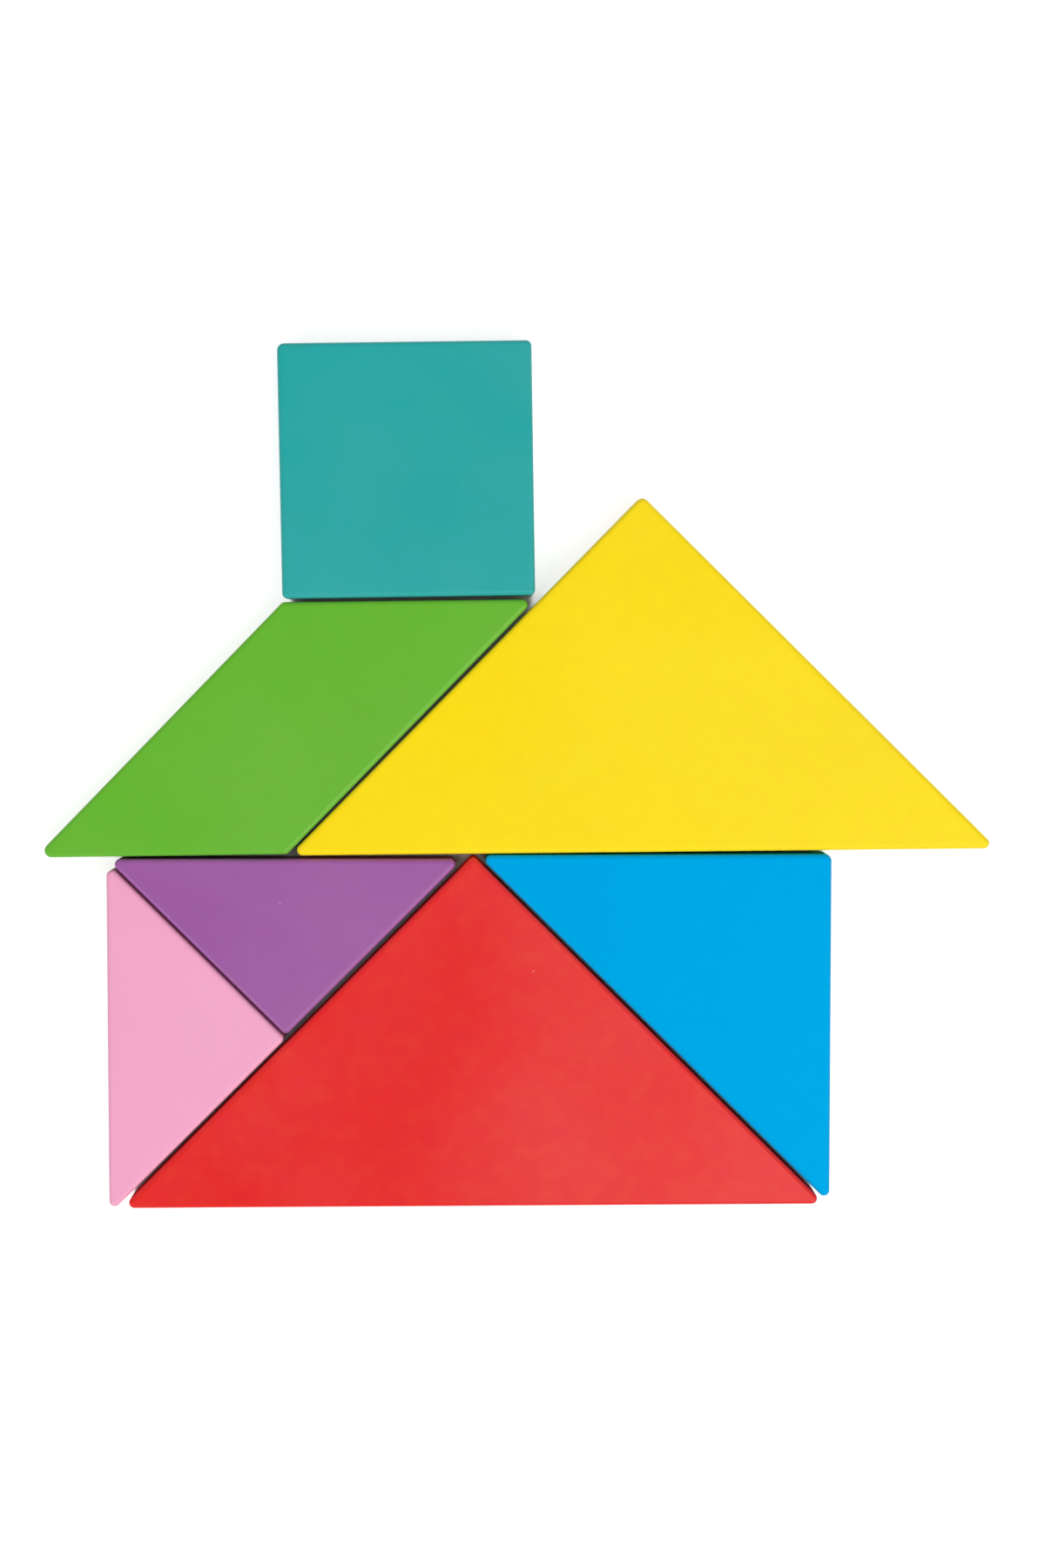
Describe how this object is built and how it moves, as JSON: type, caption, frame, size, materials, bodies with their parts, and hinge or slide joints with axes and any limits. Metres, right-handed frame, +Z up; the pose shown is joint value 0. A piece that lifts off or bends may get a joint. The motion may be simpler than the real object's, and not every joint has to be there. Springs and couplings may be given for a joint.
{
  "type": "tangram puzzle",
  "caption": "Flat dissection puzzle of lacquered wooden triangles, a square and a parallelogram, laid out as a little house with a chimney.",
  "frame": {"origin": "under the middle of the laid-out house, at the height of the table it lies on", "axes": "+X along the wall of the house to its right, +Y up the house towards the chimney, +Z up out of the table"},
  "size_m": [0.1884, 0.1724, 0.008],
  "materials": {
    "red_lacquer": "opaque satin lacquer",
    "blue_lacquer": "opaque satin lacquer",
    "purple_lacquer": "opaque satin lacquer",
    "pink_lacquer": "opaque satin lacquer",
    "green_lacquer": "opaque satin lacquer",
    "yellow_lacquer": "opaque satin lacquer",
    "teal_lacquer": "opaque satin lacquer"
  },
  "bodies": {
    "root": {"red_large_triangle": "red_lacquer", "blue_medium_triangle": "blue_lacquer", "purple_small_triangle": "purple_lacquer", "pink_small_triangle": "pink_lacquer", "green_parallelogram": "green_lacquer", "yellow_large_triangle": "yellow_lacquer", "teal_small_square": "teal_lacquer"}
  },
  "joints": []
}
